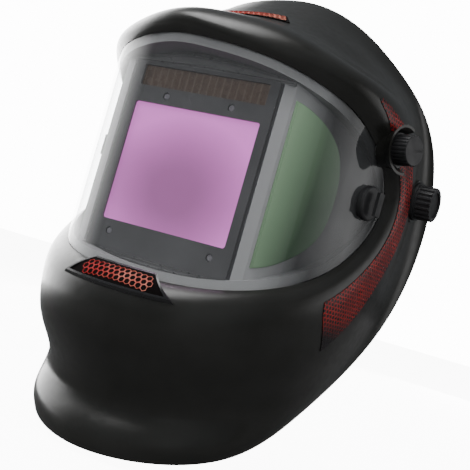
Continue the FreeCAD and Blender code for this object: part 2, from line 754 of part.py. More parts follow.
def make_front_case():
    case = case_half(CARTRIDGE_FRONT, CASE_SPLIT)
    inner = HALF - CASE_WALL
    cutters = [block(-inner, inner, CARTRIDGE_FRONT + CASE_WALL, CASE_SPLIT + 1,
                     CARTRIDGE_BOTTOM + CASE_WALL, CARTRIDGE_TOP - CASE_WALL),
               plate_y(-VIEW_HALF, VIEW_HALF, -140, -130, VIEW_BOTTOM, VIEW_TOP, 2.0),
               plate_y(-CELL_HALF_WIDTH, CELL_HALF_WIDTH, -140, -130, CELL_BOTTOM, CELL_TOP, 1.0)]
    for x, z in SENSORS:
        cutters.append(rod((x, -140, z), (0, 1, 0), SENSOR_RADIUS, 10))
    return case.cut(cutters)


def make_back_case():
    case = case_half(CASE_SPLIT, CASE_BACK)
    inner = HALF - CASE_WALL
    cutters = [block(-inner, inner, CASE_SPLIT - 1, CASE_BACK - CASE_WALL,
                     CARTRIDGE_BOTTOM + CASE_WALL, CARTRIDGE_TOP - CASE_WALL),
               plate_y(-VIEW_HALF + 2, VIEW_HALF - 2, -130, -110, VIEW_BOTTOM + 2, VIEW_TOP - 2, 3.0),
               block(DOOR_X - 10, DOOR_X + 10, -130, -110, CONTROL_Z - 10, CONTROL_Z + 10),
               block(MODE_X - 6.2, MODE_X + 6.2, -130, -110, CONTROL_Z - 2.1, CONTROL_Z + 2.1)]
    for x, radius in ((SENSITIVITY_X, 2.5), (DELAY_X, 2.5), (TEST_X, 3.0)):
        cutters.append(rod((x, -130, CONTROL_Z), (0, 1, 0), radius + RUNNING, 20))
    return case.cut(cutters)


def make_circuit_board():
    board = block(-54, 54, -126.8, -125.4, CARTRIDGE_BOTTOM + 3, CARTRIDGE_TOP - 3)
    board = board.cut(block(-49, 49, -130, -120, VIEW_BOTTOM + 1, VIEW_TOP - 1))
    chips = [block(x, x + w, -125.5, -123.9, z, z + 7)
             for x, w, z in ((-22, 14, -86), (6, 9, -86), (24, 6, -87), (44, 6, 14))]
    return fuse([board] + chips)


def make_sensors():
    eyes = []
    for x, z in SENSORS:
        eye = fuse([rod((x, -134.5, z), (0, 1, 0), SENSOR_RADIUS - 0.1, 3),
                    rod((x, -132.9, z), (0, 1, 0), SENSOR_RADIUS + 0.8, 2)])
        eyes.append(rounded(eye, 1.0, lambda e: abs(e.CenterOfMass.y + 134.5) < 1e-3))
    return Part.makeCompound(eyes)


def coin_cells():
    cells = []
    for x in (DOOR_X, -DOOR_X):
        cells.append(rounded(rod((x, -131.4, CONTROL_Z), (0, 1, 0), 10, 3.2), 0.5,
                             lambda e: e.Length > 50))
    return Part.makeCompound(cells)


def battery_door():
    """Sliding door over the cells, with finger ridges."""
    door = plate_y(DOOR_X - 13, DOOR_X + 13, CASE_BACK + 0.2, CASE_BACK + 1.8,
                   CONTROL_Z - 12, CONTROL_Z + 12, 2.0)
    ridges = [block(DOOR_X - 7, DOOR_X + 7, CASE_BACK + 1.7, CASE_BACK + 2.5, z, z + 1)
              for z in (CONTROL_Z + 3, CONTROL_Z + 5.5, CONTROL_Z + 8)]
    return fuse([door] + ridges)


def small_knob(x):
    """Dial on the back of the cartridge."""
    start = (x, CASE_BACK + 0.2, CONTROL_Z)
    body = rod(start, (0, 1, 0), 7.0, 6.0)
    body = rounded(body, 0.8, lambda e: e.CenterOfMass.y > CASE_BACK + 6 and e.Length > 30)
    shaft = rod((x, -124.6, CONTROL_Z), (0, 1, 0), 2.5, 5)
    cutters = grooves((x, CASE_BACK + 1.6, CONTROL_Z), (0, 1, 0), 7.2, 0.8, 18, 8)
    cutters.append(block(x - 0.6, x + 0.6, CASE_BACK + 5.4, CASE_BACK + 8, CONTROL_Z, CONTROL_Z + 6))
    return fuse([body, shaft]).cut(cutters)


def mode_switch():
    """Weld or grind slide switch."""
    stem = block(MODE_X - 3, MODE_X + 3, CASE_BACK - 3.2, CASE_BACK + 2.6,
                 CONTROL_Z - 2.0, CONTROL_Z + 2.0)
    ridges = [block(MODE_X + dx - 0.4, MODE_X + dx + 0.4, CASE_BACK + 2.5, CASE_BACK + 3.1,
                    CONTROL_Z - 2.0, CONTROL_Z + 2.0) for dx in (-1.8, 0, 1.8)]
    return fuse([stem] + ridges)


def check_button():
    button = rod((TEST_X, CASE_BACK - 2.8, CONTROL_Z), (0, 1, 0), 3.0, 5.4)
    return rounded(button, 0.7, lambda e: abs(e.CenterOfMass.y - CASE_BACK - 2.6) < 1e-3)


# ---------------------------------------------------------------- trim on the shell
def vent_place(p, q):
    """Trapezoid on the collar below the lens, narrow at the top."""
    half = 0.40 + 0.31 * q
    return 8 + (1 - 2 * p) * half, 0.06 + 0.92 * q


def within(place, margin_p, margin_q):
    """The same place with a margin inside its edges."""
    return lambda p, q: place(margin_p + p * (1 - 2 * margin_p), margin_q + q * (1 - 2 * margin_q))


VENT_WIDTH = 60.0               # rough size of the badge, to turn margins into shares of it
VENT_HEIGHT = 20.0
VENT_RISE = 6.0                 # how far the badge stands out along its top and bottom edges
VENT_FALL = 2.6
VENT_RIM = 3.0                  # width of the frame round the net
VENT_RECESS = 1.6


def vent_layer(margin, change):
    """Points on the badge's sloping front, some way inside its edge and above or below it.
    With no change the layer lies on the shell instead."""
    place = within(vent_place, margin / VENT_WIDTH, margin / VENT_HEIGHT)
    columns, rows = 12, 4
    grid = []
    for p in range(columns + 1):
        line = []
        for q in range(rows + 1):
            front = VENT_RISE + (VENT_FALL - VENT_RISE) * q / rows
            height = 0.1 if change is None else front + change
            line.append(on_shell(*place(p / columns, q / rows), height))
        grid.append(line)
    return grid


def vent_bezel():
    """Raised badge with sloping sides and a recess for the net."""
    outer = sheet_solid(vent_layer(0, None), vent_layer(1.6, 0))
    return outer.cut(sheet_solid(vent_layer(VENT_RIM, -VENT_RECESS), vent_layer(VENT_RIM, 1.5)))


def vent_mesh():
    margin = VENT_RIM + 0.2
    return sheet_solid(vent_layer(margin, 0.1 - VENT_RECESS), vent_layer(margin, 0.9 - VENT_RECESS))


def top_mesh():
    return patch(lambda p, q: ((1 - 2 * p) * (0.62 - 0.2 * q), 3.42 + 0.46 * q), 0.12, 0.7, 10, 3)


def decal_place(p, q):
    """Curved band behind the end of the lens: pointed above, wide and slanted below."""
    width = 1.5 * min(1.0, p / 0.22) ** 0.8
    middle = 1.62 + 0.45 * p
    return 2.62 + 3.1 * p + 0.18 * (q - 0.5) * p, middle + (q - 0.5) * width


def side_decals():
    band = patch(lambda p, q: decal_place(0.02 + 0.98 * p, q), 0.12, 0.5, 16, 3)
    around_knob = Part.makeCone(SHROUD_BASE + 0.2, SHROUD_RIM + 0.2, SHROUD_HEIGHT,
                                vec(*shade_at(1)), shade_direction())
    clear = [rod(shade_at(-10), SHADE_AXIS, SHROUD_BASE + 0.2, 14), around_knob]
    return Part.makeCompound([band.cut(clear), mirrored(band)])


# ---------------------------------------------------------------- headgear
def head_point(angle, outward, up):
    """Point on the headband: a plan angle from the forehead, distances outwards and up."""
    x, y, nx, ny = superellipse(angle, HEAD_HALF_WIDTH, HEAD_HALF_LENGTH, HEAD_POWER)
    z = BAND_RISE * math.cos(math.radians(angle)) + up
    return vec(x + nx * outward, y + ny * outward + HEAD_CENTRE_Y, z)


def head_strip(angle, inner, outer, half_height):
    """Band round the head between two plan angles either side of the forehead."""
    steps = int(angle / 6)
    corners = []
    for i in range(-steps, steps + 1):
        a = angle * i / steps
        corners.append([head_point(a, outer, half_height), head_point(a, outer, -half_height),
                        head_point(a, inner, -half_height), head_point(a, inner, half_height)])
    return strip_solid(corners, closed=False)


ARM_POSTS = [(-22.0, 14.0), (24.0, -2.0)]
POST_RADIUS = 4.2
RIVET = 2.0
STRAP_RIVET_Z = 18.0


def band_x(y, outward):
    """X of a point outside the headband's inner face by a distance, level with Y."""
    along = abs(y - HEAD_CENTRE_Y) / HEAD_HALF_LENGTH
    return HEAD_HALF_WIDTH * (1 - along ** HEAD_POWER) ** (1 / HEAD_POWER) + outward


def make_headband():
    band = head_strip(150.0, 0, STRAP, BAND_HEIGHT / 2)
    holes = []
    for y, z in ARM_POSTS:
        holes += [rod((side * 70, y, z), (side, 0, 0), RIVET, 30) for side in (1, -1)]
    for side in (1, -1):
        for spot in range(4):
            hole = head_point(side * (112 + 8 * spot), 0, 0)
            holes.append(rod((hole.x - side * 12, hole.y - 8, hole.z), (side * 12, 8, 0), 2.2, 30))
    return band.cut(holes)


def side_arm():
    plate = plate_x(ARM_INNER, ARM_OUTER, -28, 30, -16, 24, 6)
    posts = []
    for y, z in ARM_POSTS:
        start = band_x(y, STRAP + 1.4)
        posts.append(rod((start, y, z), (1, 0, 0), POST_RADIUS, ARM_INNER + 0.3 - start))
    cutters = [block(90, 100, -REACH_TRAVEL - 4.2, REACH_TRAVEL + 4.2, -4.2, 4.2),
               rod((90, 0, STRAP_RIVET_Z), (1, 0, 0), RIVET, 12)]
    cutters += [rod((78, y, z), (1, 0, 0), RIVET, 14.5) for y, z in ARM_POSTS]
    return fuse([plate] + posts).cut(cutters)


def arm_rivets():
    rivets = []
    for y, z in ARM_POSTS:
        head = band_x(y, -2.6)
        rivet = fuse([rod((head, y, z), (1, 0, 0), 4.0, 1.4),
                      rod((head + 1, y, z), (1, 0, 0), RIVET, 92 - head - 1)])
        rivets += [rivet, mirrored(rivet)]
    pin = fuse([rod((92.0, 0, STRAP_RIVET_Z), (1, 0, 0), 4.0, 1.4),
                rod((92.5, 0, STRAP_RIVET_Z), (1, 0, 0), RIVET, 6.0)])
    return Part.makeCompound(rivets + [pin, mirrored(pin)])


STRAP_BASE = 14.0
STRAP_RISE = 78.0
STRAP_HALF_WIDTH = 94.0


def crown_half(lift):
    """Half of the strap over the head, from the left arm to just past the top."""
    corners = []
    for i in range(19):
        a = math.radians(-2 + 106 * i / 18)
        inner = vec(STRAP_HALF_WIDTH * math.cos(a), 0,
                    STRAP_BASE + (STRAP_RISE + lift) * math.sin(a))
        out = vec(math.cos(a), 0, math.sin(a)) * STRAP
        half = 10 - 1.5 * math.sin(a)
        corners.append([inner + vec(0, -half, 0), inner + vec(0, half, 0),
                        inner + out + vec(0, half, 0), inner + out + vec(0, -half, 0)])
    strap = strip_solid(corners, closed=False)
    holes = [rod((x, 0, 60), (0, 0, 1), 2.6, 50) for x in (-18, -9, 0, 9, 18)]
    return strap.cut(holes + [rod((85, 0, STRAP_RIVET_Z), (1, 0, 0), RIVET, 20)])


def crown_peg():
    top = STRAP_BASE + STRAP_RISE
    return fuse([rod((0, 0, top - 1.9), (0, 0, 1), 5.5, 1.6), rod((0, 0, top - 1), (0, 0, 1), 2.5, 6),
                 rod((0, 0, top + 4.2), (0, 0, 1), 5.5, 1.8)])


def ratchet_housing():
    z0, z1 = RATCHET_Z - RATCHET_HALF_HEIGHT, RATCHET_Z + RATCHET_HALF_HEIGHT
    body = plate_y(-RATCHET_HALF_WIDTH, RATCHET_HALF_WIDTH, RATCHET_Y, RATCHET_Y + 8, z0, z1, 9)
    channel = block(-60, 60, RATCHET_Y + 2.4, RATCHET_Y + 9, RATCHET_Z - 11.4, RATCHET_Z + 11.4)
    socket = rod((0, RATCHET_Y + 1.2, RATCHET_Z), (0, 1, 0), 3 + RUNNING, 6)
    return body.cut([channel, socket] + cover_bars(1.25, RATCHET_Y + 2, 12))


def cover_bars(radius, start, length):
    return [rod((x, start, RATCHET_Z + z), (0, 1, 0), radius, length)
            for x in (-36, 36) for z in (-14.7, 14.7)]


def ratchet_cover():
    z0, z1 = RATCHET_Z - RATCHET_HALF_HEIGHT, RATCHET_Z + RATCHET_HALF_HEIGHT
    plate = plate_y(-RATCHET_HALF_WIDTH, RATCHET_HALF_WIDTH, RATCHET_Y + 8.1, RATCHET_Y + 10.4,
                    z0, z1, 9)
    bore = rod((0, RATCHET_Y, RATCHET_Z), (0, 1, 0), 3 + RUNNING, 20)
    return plate.cut([bore] + cover_bars(1.3, RATCHET_Y, 20))


def cover_screws():
    shanks = cover_bars(1.2, RATCHET_Y + 3, 7.5)
    heads = cover_bars(2.4, RATCHET_Y + 10.5, 1.3)
    return Part.makeCompound([fuse([a, b]) for a, b in zip(shanks, heads)])


TOOTH_PITCH = 2 * math.pi * PINION_RADIUS / PINION_TEETH
TOOTH_ROOT = 1.15               # half width of a tooth at its root and at its tip
TOOTH_TIP = 0.45
TOOTH_OUT = 1.0                 # tooth height beyond, and depth below, the pitch line
TOOTH_IN = 1.4


def ratchet_pinion():
    y0, y1 = RATCHET_Y + 2.9, RATCHET_Y + 6.6
    shapes = [rod((0, y0, RATCHET_Z), (0, 1, 0), PINION_RADIUS - TOOTH_IN + 0.2, y1 - y0),
              rod((0, RATCHET_Y + 1.4, RATCHET_Z), (0, 1, 0), 3.0, 18)]
    for i in range(PINION_TEETH):
        base, tip = PINION_RADIUS - TOOTH_IN, PINION_RADIUS + TOOTH_OUT
        tooth = prism([(-TOOTH_ROOT, y0, base), (TOOTH_ROOT, y0, base),
                       (TOOTH_TIP, y0, tip), (-TOOTH_TIP, y0, tip)], (0, y1 - y0, 0))
        tooth.rotate(vec(0, 0, 0), vec(0, 1, 0), 360.0 * i / PINION_TEETH)
        tooth.translate(vec(0, 0, RATCHET_Z))
        shapes.append(tooth)
    return fuse(shapes)


def rack():
    """Toothed tail of the left band, above the pinion."""
    y0, depth = RATCHET_Y + 3.2, 2.8
    base = RATCHET_Z + PINION_RADIUS + TOOTH_IN
    shapes = [block(-19, 58, y0, y0 + depth, base, RATCHET_Z + 11.2),
              plate_y(47, 62, y0, y0 + depth, RATCHET_Z + 0.5, RATCHET_Z + 11.2, 3)]
    tooth = -4.5
    while tooth < 8:
        x = tooth * TOOTH_PITCH
        tip = RATCHET_Z + PINION_RADIUS - TOOTH_OUT
        shapes.append(prism([(x - TOOTH_ROOT, y0, base + 0.1), (x + TOOTH_ROOT, y0, base + 0.1),
                             (x + TOOTH_TIP, y0, tip), (x - TOOTH_TIP, y0, tip)], (0, depth, 0)))
        tooth += 1
    return fuse(shapes)


def ratchet_knob():
    start = (0, RATCHET_Y + 10.9, RATCHET_Z)
    body = fuse([rod(start, (0, 1, 0), 19, 15), rod(start, (0, 1, 0), 20.2, 2.5)])
    body = rounded(body, 1.8, lambda e: abs(e.CenterOfMass.y - start[1] - 15) < 1e-3)
    cutters = grooves((0, start[1] + 3.6, RATCHET_Z), (0, 1, 0), 19.9, 2.0, 18, 20)
    dish = rod((0, start[1] + 13.4, RATCHET_Z), (0, 1, 0), 12.5, 4)
    return body.cut(cutters + [dish, rod((0, RATCHET_Y, RATCHET_Z), (0, 1, 0), 3.0, 19.4)])


def rear_pad():
    pad = block(-44, 44, RATCHET_Y - 9.6, RATCHET_Y - 0.6, RATCHET_Z - 18, RATCHET_Z + 18)
    return rounded(pad, 3.5, lambda e: e.Length > 8)


# ---------------------------------------------------------------- everything together
def build():
    parts = {
        "shell": make_shell(),
        "front_cover_lens": make_lens(),
        "lens_frame": make_lens_frame(),
        "cartridge_holder": make_holder(),
        "frame_screws": frame_screws(),
        "latch_pin": latch_pin(),
        "cartridge_latch": cartridge_latch(),
        "cartridge_front_case": make_front_case(),
        "cartridge_back_case": make_back_case(),
        "infrared_filter_glass": block(-53, 53, -132.9, -131.5, VIEW_BOTTOM - 2, VIEW_TOP + 2),
        "liquid_crystal_cell": block(-53, 53, -131.4, -127.0, VIEW_BOTTOM - 2, VIEW_TOP + 2),
        "inner_cover_plate": plate_y(-52, 52, CASE_BACK + 0.2, CASE_BACK + 1.2,
                                     VIEW_BOTTOM - 4, VIEW_TOP + 1, 3),
        "solar_cell": block(-51.5, 51.5, -132.9, -131.9, CELL_BOTTOM - 1.5, CELL_TOP + 0.4),
        "arc_sensors": make_sensors(),
        "circuit_board": make_circuit_board(),
        "coin_cells": coin_cells(),
        "battery_door": battery_door(),
        "sensitivity_knob": small_knob(SENSITIVITY_X),
        "delay_knob": small_knob(DELAY_X),
        "mode_switch": mode_switch(),
        "check_button": check_button(),
        "shade_shroud": make_shade_shroud(),
        "shade_knob": make_shade_knob(),
        "shade_shaft": rod(shade_at(-13.5), SHADE_AXIS, SHADE_SHAFT, 27.0),
        "shade_potentiometer": make_potentiometer(),
        "potentiometer_nut": make_potentiometer_nut(),
        "control_cable": make_cable(),
        "front_vent_bezel": vent_bezel(),
        "front_vent_mesh": vent_mesh(),
        "top_vent_mesh": top_mesh(),
        "headband": make_headband(),
        "sweatband": head_strip(58.0, -6.6, -0.6, 15.0),
        "arm_rivets": arm_rivets(),
        "crown_strap_left": crown_half(0),
        "crown_strap_right": mirrored(crown_half(STRAP + 0.3)),
        "crown_strap_peg": crown_peg(),
        "ratchet_housing": ratchet_housing(),
        "ratchet_cover": ratchet_cover(),
        "cover_screws": cover_screws(),
        "ratchet_pinion": ratchet_pinion(),
        "ratchet_knob": ratchet_knob(),
        "rear_pad": rear_pad(),
        "tilt_stop": mirrored(tilt_stop()),
        "friction_washers": Part.makeCompound(
            [pivot_disc(102.1, 105.0, 13)] + both(pivot_disc(105.3, 107.7, 13))),
        "window_retainers": Part.makeCompound(both(window_retainer())),
        "side_decals": side_decals(),
        "carriage_plates": Part.makeCompound(both(carriage_plate())),
        "pivot_bolts": Part.makeCompound(both(pivot_bolt())),
    }
    pairs = {
        "side_window": side_window(),
        "lens_lock": lens_lock(),
        "side_arm": side_arm(),
        "tension_knob": tension_knob(),
        "knob_insert": knob_insert(),
    }
    for name, shape in pairs.items():
        parts[name + "_left"] = shape
        parts[name + "_right"] = mirrored(shape)
    parts["rack_left"] = rack()
    half_turn = rack()
    half_turn.rotate(vec(0, 0, RATCHET_Z), vec(0, 1, 0), 180)
    parts["rack_right"] = half_turn
    return parts


def write(parts):
    os.makedirs(PARTS, exist_ok=True)
    for name, shape in parts.items():
        if not shape.isValid() or shape.Volume <= 0:
            print("bad solid:", name, shape.isValid(), round(shape.Volume, 2))
        shape.exportStep(os.path.join(PARTS, name + ".step"))


write(build())
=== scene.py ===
import math

import bmesh
import bpy
from mathutils import Matrix, Vector
from mathutils.bvhtree import BVHTree


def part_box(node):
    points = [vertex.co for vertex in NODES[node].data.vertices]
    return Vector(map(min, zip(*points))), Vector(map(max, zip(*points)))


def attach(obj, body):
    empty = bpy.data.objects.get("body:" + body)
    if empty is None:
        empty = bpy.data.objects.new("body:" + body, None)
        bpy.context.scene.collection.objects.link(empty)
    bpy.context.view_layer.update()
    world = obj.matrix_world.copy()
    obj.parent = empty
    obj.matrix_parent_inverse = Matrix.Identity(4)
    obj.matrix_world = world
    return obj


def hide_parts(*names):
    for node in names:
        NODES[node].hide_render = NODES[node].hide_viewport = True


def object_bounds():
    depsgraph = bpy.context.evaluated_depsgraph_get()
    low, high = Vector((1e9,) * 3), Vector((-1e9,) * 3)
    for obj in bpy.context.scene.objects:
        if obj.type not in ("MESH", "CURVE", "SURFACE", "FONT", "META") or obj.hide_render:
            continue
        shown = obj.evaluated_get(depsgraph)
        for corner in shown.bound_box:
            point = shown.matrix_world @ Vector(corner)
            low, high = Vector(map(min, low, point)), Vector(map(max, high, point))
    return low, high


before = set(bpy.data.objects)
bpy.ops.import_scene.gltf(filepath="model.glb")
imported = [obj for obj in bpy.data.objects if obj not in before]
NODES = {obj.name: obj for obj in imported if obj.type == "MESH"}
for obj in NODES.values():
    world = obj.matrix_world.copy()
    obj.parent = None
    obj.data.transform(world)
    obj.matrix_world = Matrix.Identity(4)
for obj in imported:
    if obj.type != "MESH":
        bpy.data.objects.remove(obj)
CAD_LOW, CAD_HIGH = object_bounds()
MM = 0.001


# ---------------------------------------------------------------- shader helpers
class Look:
    """One procedural material under construction."""

    def __init__(self, name):
        self.material = bpy.data.materials.new(name)
        self.material.use_nodes = True
        self.tree = self.material.node_tree
        self.tree.nodes.clear()
        self.out = self.add("ShaderNodeOutputMaterial")
        self.bsdf = self.add("ShaderNodeBsdfPrincipled")
        self.join(self.bsdf.outputs[0], self.out.inputs[0])
        self.place = self.add("ShaderNodeTexCoord").outputs["Object"]

    def add(self, kind, **values):
        """New shader node with some of its settings."""
        node = self.tree.nodes.new(kind)
        for key, value in values.items():
            setattr(node, key, value)
        return node

    def join(self, source, target):
        self.tree.links.new(source, target)

    def noise(self, scale, detail=3.0, stretch=(1, 1, 1)):
        """Noise factor, mostly between 0.3 and 0.7."""
        spread = self.add("ShaderNodeMapping")
        spread.inputs["Scale"].default_value = stretch
        self.join(self.place, spread.inputs["Vector"])
        noise = self.add("ShaderNodeTexNoise")
        noise.inputs["Scale"].default_value = scale
        noise.inputs["Detail"].default_value = detail
        self.join(spread.outputs[0], noise.inputs["Vector"])
        return noise.outputs["Fac"]

    def span(self, source, low, high, source_low=0.3, source_high=0.7):
        """Source taken from its own range to low and high, and held there beyond it."""
        node = self.add("ShaderNodeMapRange")
        node.inputs["From Min"].default_value = source_low
        node.inputs["From Max"].default_value = source_high
        node.inputs["To Min"].default_value = low
        node.inputs["To Max"].default_value = high
        self.join(source, node.inputs["Value"])
        return node.outputs[0]

    def maths(self, kind, a, b=0):
        """One arithmetic step on sockets or numbers."""
        node = self.add("ShaderNodeMath", operation=kind)
        for socket, value in zip(node.inputs, (a, b)):
            if isinstance(value, (int, float)):
                socket.default_value = value
            else:
                self.join(value, socket)
        return node.outputs[0]

    def blend(self, factor, a, b):
        """Colour between a (factor 0) and b (factor 1)."""
        node = self.add("ShaderNodeMix", data_type="RGBA")
        self.join(factor, node.inputs[0])
        for socket, value in ((node.inputs[6], a), (node.inputs[7], b)):
            if isinstance(value, tuple):
                socket.default_value = value + (1,)
            else:
                self.join(value, socket)
        return node.outputs[2]

    def coordinate(self, axis):
        """X, Y or Z in the object's own frame, in metres."""
        node = self.add("ShaderNodeSeparateXYZ")
        self.join(self.place, node.inputs[0])
        return node.outputs["XYZ".index(axis)]

    def colour(self, value):
        target = self.bsdf.inputs["Base Color"]
        if isinstance(value, tuple):
            target.default_value = value + (1,)
        else:
            self.join(value, target)

    def rough(self, low, high, scale=180):
        """Uneven gloss between two roughness values."""
        self.join(self.span(self.noise(scale), low, high), self.bsdf.inputs["Roughness"])

    def relief(self, height, depth):
        """Fine bumps from a height socket, depth in metres."""
        node = self.add("ShaderNodeBump")
        node.inputs["Distance"].default_value = depth
        node.inputs["Strength"].default_value = 1.0
        self.join(height, node.inputs["Height"])
        self.join(node.outputs[0], self.bsdf.inputs["Normal"])

    def set(self, **values):
        """Sets inputs of the main shader by name, with _ for each space."""
        for key, value in values.items():
            self.bsdf.inputs[key.replace("_", " ")].default_value = value


def moulded(name, dark, light, low, high, grain=2400, depth=0.00002, coat=0.0, shine=0.5):
    """Moulded plastic: slight colour drift, gloss between two roughness values and a fine grain."""
    look = Look(name)
    look.colour(look.blend(look.span(look.noise(35, 5), 0, 1), dark, light))
    look.rough(low, high)
    look.relief(look.noise(grain, 2), depth)
    look.set(Coat_Weight=coat, Coat_Roughness=0.15, Specular_IOR_Level=shine)
    return look.material


def metal(name, colour, low, high, stretch=(1, 1, 1)):
    """Metal with uneven tone and gloss; stretch draws its grain out into brush marks."""
    look = Look(name)
    light = tuple(min(1.0, c * 1.25) for c in colour)
    look.colour(look.blend(look.span(look.noise(300, 4, stretch), 0, 1), colour, light))
    look.rough(low, high, 900)
    look.relief(look.noise(3000, 2, stretch), 0.00001)
    look.set(Metallic=1.0)
    return look.material


def clear(name, tint, haze, side_haze, reflect):
    """Clear moulding: tinted see-through, a haze that changes towards the sides, and a surface
    reflection on the outside only."""
    look = Look(name)
    through = look.add("ShaderNodeBsdfTransparent")
    through.inputs[0].default_value = tint + (1,)
    milk = look.add("ShaderNodeBsdfDiffuse")
    milk.inputs[0].default_value = (0.8, 0.82, 0.84, 1)
    body = look.add("ShaderNodeMixShader")
    off_centre = look.maths("ABSOLUTE", look.coordinate("X"))
    side = look.span(off_centre, haze, side_haze, 62 * MM, 112 * MM)
    drift = look.span(look.noise(14, 3), 0.85, 1.15)
    look.join(look.maths("MULTIPLY", side, drift), body.inputs[0])
    look.join(through.outputs[0], body.inputs[1])
    look.join(milk.outputs[0], body.inputs[2])
    shine = look.add("ShaderNodeBsdfGlossy")
    look.join(look.span(look.noise(60, 3), 0.02, 0.06), shine.inputs["Roughness"])
    edge = look.add("ShaderNodeFresnel")
    edge.inputs["IOR"].default_value = reflect
    final = look.add("ShaderNodeMixShader")
    facing = look.maths("SUBTRACT", 1, look.add("ShaderNodeNewGeometry").outputs["Backfacing"])
    look.join(look.maths("MULTIPLY", edge.outputs[0], facing), final.inputs[0])
    look.join(body.outputs[0], final.inputs[1])
    look.join(shine.outputs[0], final.inputs[2])
    look.join(final.outputs[0], look.out.inputs[0])
    return look.material


def filter_film():
    """Pink to violet mirror film on the filter glass, darker in the middle. It glows a little: painted
    light that brightens it behind the clear lens.
    """
    look = Look("filter_film")
    dark_z, half_width, half_height = -45 * MM, 55 * MM, 45 * MM
    above = look.maths("SUBTRACT", look.coordinate("Z"), dark_z)
    across = look.maths("POWER", look.maths("DIVIDE", look.coordinate("X"), half_width), 2)
    height = look.maths("POWER", look.maths("DIVIDE", above, half_height), 2)
    share = look.span(look.maths("ADD", across, height), 1, 0, 0.1, 1.3)
    drift = look.maths("ADD", share, look.span(look.noise(18, 4), -0.05, 0.05))
    film = look.blend(drift, (0.67, 0.17, 0.59), (0.25, 0.078, 0.215))
    look.colour(film)
    # Painted light: the film glows in its own colour.
    look.join(film, look.bsdf.inputs["Emission Color"])
    look.set(Emission_Strength=0.8)
    look.rough(0.16, 0.24, 30)
    look.relief(look.noise(900, 2), 0.000004)
    look.set(Metallic=0.2, Coat_Weight=0.3, Coat_Roughness=0.03)
    return look.material


def green_glass():
    """Green side window with painted shade: paler towards the front and top, darker behind and below. It
    glows a little, painted light that brightens it behind the clear lens.
    """
    look = Look("green_glass")
    # Painted shade: the glass darkens towards the rear and below.
    rear = look.span(look.coordinate("Y"), 0, 0.85, -128 * MM, -102 * MM)
    below = look.span(look.coordinate("Z"), 0.30, -0.1, -70 * MM, 30 * MM)
    drift = look.span(look.noise(20, 4), -0.04, 0.04)
    share = look.maths("ADD", look.maths("ADD", rear, below), drift)
    tint = look.blend(share, (0.14, 0.22, 0.13), (0.008, 0.024, 0.008))
    look.colour(tint)
    # Painted light: the window glows in its own colour.
    look.join(tint, look.bsdf.inputs["Emission Color"])
    look.set(Emission_Strength=0.45)
    look.rough(0.10, 0.2, 40)
    look.relief(look.noise(700, 2), 0.0000008)
    look.set(Coat_Weight=0.15, Coat_Roughness=0.05, Specular_IOR_Level=0.3)
    return look.material


def solar_strip():
    """Brown solar cell: thin upright bars and a cover sheen."""
    look = Look("solar_strip")
    wave = look.add("ShaderNodeTexWave", wave_type="BANDS", bands_direction="X")
    wave.inputs["Scale"].default_value = 55
    look.join(look.place, wave.inputs["Vector"])
    bars = look.span(wave.outputs["Fac"], 0, 1, 0.85, 0.95)
    ground = look.blend(look.span(look.noise(90, 4), 0, 1), (0.050, 0.030, 0.019), (0.068, 0.041, 0.026))
    look.colour(look.blend(bars, ground, (0.095, 0.068, 0.050)))
    look.rough(0.2, 0.35)
    look.relief(bars, 0.00004)
    look.set(Coat_Weight=0.5, Coat_Roughness=0.05)
    return look.material


def frame_panel():
    """Grey frame behind the clear lens with painted light and shade: pale beside the cartridge, dark to the
    rear and above.
    """
    look = Look("frame_panel")
    # Painted shade to the rear and above, painted light beside the cartridge.
    rear = look.span(look.coordinate("Y"), 0, 1, -128 * MM, -98 * MM)
    above = look.span(look.coordinate("Z"), 0, 0.4, 20 * MM, 45 * MM)
    share = look.maths("MAXIMUM", rear, above)
    drift = look.maths("ADD", share, look.span(look.noise(30, 4), -0.06, 0.06))
    look.colour(look.blend(drift, (0.27, 0.27, 0.27), (0.012, 0.012, 0.013)))
    look.rough(0.45, 0.55)
    look.relief(look.noise(2400, 2), 0.0000008)
    look.set(Specular_IOR_Level=0.25)
    return look.material


def printed_net():
    """Printed band: three crossing sets of fine red lines on black, fading out at both ends."""
    look = Look("printed_net")
    y, z = look.coordinate("Y"), look.coordinate("Z")
    spacing = 2.7 * MM
    line_core, line_edge = 0.06, 0.12
    lines = None
    for angle in (30, 90, 150):
        turn = math.radians(angle)
        rearward = look.maths("MULTIPLY", y, math.cos(turn) / spacing)
        upward = look.maths("MULTIPLY", z, math.sin(turn) / spacing)
        count = look.maths("FRACT", look.maths("ADD", rearward, upward))
        off_line = look.maths("ABSOLUTE", look.maths("SUBTRACT", count, 0.5))
        line = look.span(off_line, 1, 0, line_core, line_edge)
        lines = line if lines is None else look.maths("MAXIMUM", lines, line)
    red = look.blend(look.span(look.noise(60, 3), 0, 1), (0.12, 0.004, 0.004), (0.34, 0.018, 0.014))
    lower_end = look.span(z, 0, 1, -112 * MM, -98 * MM)
    upper_end = look.span(z, 1, 0, 40 * MM, 56 * MM)
    ends = look.maths("MULTIPLY", lower_end, upper_end)
    look.colour(look.blend(look.maths("MULTIPLY", lines, ends), (0.010, 0.008, 0.009), red))
    look.rough(0.22, 0.36)
    look.relief(lines, 0.00003)
    look.set(Coat_Weight=0.1, Coat_Roughness=0.2, Specular_IOR_Level=0.3)
    return look.material


def net_paint_and_highlight():
    """Red paint of the nets, deep on the wearer's right and paler towards the left; the paler side is
    painted highlight, with some random tone drift.
    """
    look = Look("net_paint_and_highlight")
    # Painted highlight: the net pales towards the wearer's left.
    leftward = look.span(look.coordinate("X"), 0, 1, -35 * MM, 35 * MM)
    lit_side_with_drift = look.maths("ADD", leftward, look.span(look.noise(120, 3), -0.25, 0.25))
    painted_highlight_and_tone = look.span(lit_side_with_drift, 0, 1, 0.25, 1.15)
    look.colour(look.blend(painted_highlight_and_tone, (0.26, 0.004, 0.003), (0.46, 0.17, 0.12)))
    look.rough(0.4, 0.55)
    look.relief(look.noise(2500, 2), 0.00002)
    look.set(Specular_IOR_Level=0.2)
    return look.material


